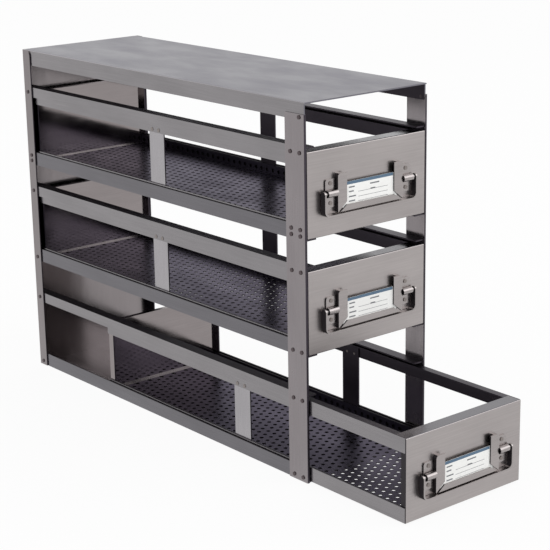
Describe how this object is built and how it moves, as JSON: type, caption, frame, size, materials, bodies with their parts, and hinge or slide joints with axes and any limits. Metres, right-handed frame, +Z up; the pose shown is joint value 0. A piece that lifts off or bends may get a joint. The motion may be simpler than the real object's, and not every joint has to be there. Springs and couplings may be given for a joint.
{
  "type": "freezer drawer rack",
  "caption": "Tall, narrow rack of folded stainless sheet with open sides, holding stacked pull-out drawers with perforated floors, bail handles and card holders.",
  "frame": {"origin": "middle of the back panel's lower edge, in the plane that the rack stands on", "axes": "+Z up, -Y out of the front, the way the drawers pull, +X to the right as seen from the front"},
  "size_m": [0.1412, 0.5533, 0.33],
  "materials": {
    "frame_sheet": "cold-rolled, fine brushed grain",
    "drawer_sheet": "cold-rolled, fine brushed grain",
    "perforated_sheet": "punched with staggered holes, satin",
    "handle_steel": "satin, edges rounded by tumbling",
    "rivet_steel": "pressed heads, satin",
    "card_paper": "matt white card with a plain header line"
  },
  "bodies": {
    "rack": {"top_cover": "frame_sheet", "back_panel": "frame_sheet", "bottom_panel": "frame_sheet", "front_post_left": "frame_sheet", "front_post_right": "frame_sheet", "support_rail_bottom_left": "frame_sheet", "guide_rail_bottom_left": "frame_sheet", "support_rail_bottom_right": "frame_sheet", "guide_rail_bottom_right": "frame_sheet", "support_rail_middle_left": "frame_sheet", "guide_rail_middle_left": "frame_sheet", "support_rail_middle_right": "frame_sheet", "guide_rail_middle_right": "frame_sheet", "support_rail_top_left": "frame_sheet", "guide_rail_top_left": "frame_sheet", "support_rail_top_right": "frame_sheet", "guide_rail_top_right": "frame_sheet", "frame_rivets": "rivet_steel"},
    "drawer_bottom": {"drawer_bottom_front": "drawer_sheet", "drawer_bottom_back": "drawer_sheet", "drawer_bottom_floor": "perforated_sheet", "drawer_bottom_rim_left": "drawer_sheet", "drawer_bottom_rim_right": "drawer_sheet", "drawer_bottom_base_left": "drawer_sheet", "drawer_bottom_base_right": "drawer_sheet", "drawer_bottom_strap_left": "drawer_sheet", "drawer_bottom_strap_right": "drawer_sheet", "drawer_bottom_brackets": "handle_steel", "drawer_bottom_card_holder": "handle_steel", "drawer_bottom_card": "card_paper", "drawer_bottom_rivets": "rivet_steel"},
    "drawer_bottom_handle": {"drawer_bottom_bail": "handle_steel"},
    "drawer_middle": {"drawer_middle_front": "drawer_sheet", "drawer_middle_back": "drawer_sheet", "drawer_middle_floor": "perforated_sheet", "drawer_middle_rim_left": "drawer_sheet", "drawer_middle_rim_right": "drawer_sheet", "drawer_middle_base_left": "drawer_sheet", "drawer_middle_base_right": "drawer_sheet", "drawer_middle_strap_left": "drawer_sheet", "drawer_middle_strap_right": "drawer_sheet", "drawer_middle_brackets": "handle_steel", "drawer_middle_card_holder": "handle_steel", "drawer_middle_card": "card_paper", "drawer_middle_rivets": "rivet_steel"},
    "drawer_middle_handle": {"drawer_middle_bail": "handle_steel"},
    "drawer_top": {"drawer_top_front": "drawer_sheet", "drawer_top_back": "drawer_sheet", "drawer_top_floor": "perforated_sheet", "drawer_top_rim_left": "drawer_sheet", "drawer_top_rim_right": "drawer_sheet", "drawer_top_base_left": "drawer_sheet", "drawer_top_base_right": "drawer_sheet", "drawer_top_strap_left": "drawer_sheet", "drawer_top_strap_right": "drawer_sheet", "drawer_top_brackets": "handle_steel", "drawer_top_card_holder": "handle_steel", "drawer_top_card": "card_paper", "drawer_top_rivets": "rivet_steel"},
    "drawer_top_handle": {"drawer_top_bail": "handle_steel"}
  },
  "joints": [
    {"name": "drawer_bottom_slide", "type": "slide", "parent": "rack", "child": "drawer_bottom", "axis": [0, -1, 0], "range_m": [-0.117, 0.243]},
    {"name": "drawer_bottom_handle_swing", "type": "hinge", "parent": "drawer_bottom", "child": "drawer_bottom_handle", "pos_m": [0, -0.5496, 0.0375], "axis": [-1, 0, 0], "range_deg": [0, 180]},
    {"name": "drawer_middle_slide", "type": "slide", "parent": "rack", "child": "drawer_middle", "axis": [0, -1, 0], "range_m": [0, 0.36]},
    {"name": "drawer_middle_handle_swing", "type": "hinge", "parent": "drawer_middle", "child": "drawer_middle_handle", "pos_m": [0, -0.4326, 0.1505], "axis": [-1, 0, 0], "range_deg": [0, 180]},
    {"name": "drawer_top_slide", "type": "slide", "parent": "rack", "child": "drawer_top", "axis": [0, -1, 0], "range_m": [0, 0.36]},
    {"name": "drawer_top_handle_swing", "type": "hinge", "parent": "drawer_top", "child": "drawer_top_handle", "pos_m": [0, -0.4326, 0.2515], "axis": [-1, 0, 0], "range_deg": [0, 180]}
  ]
}
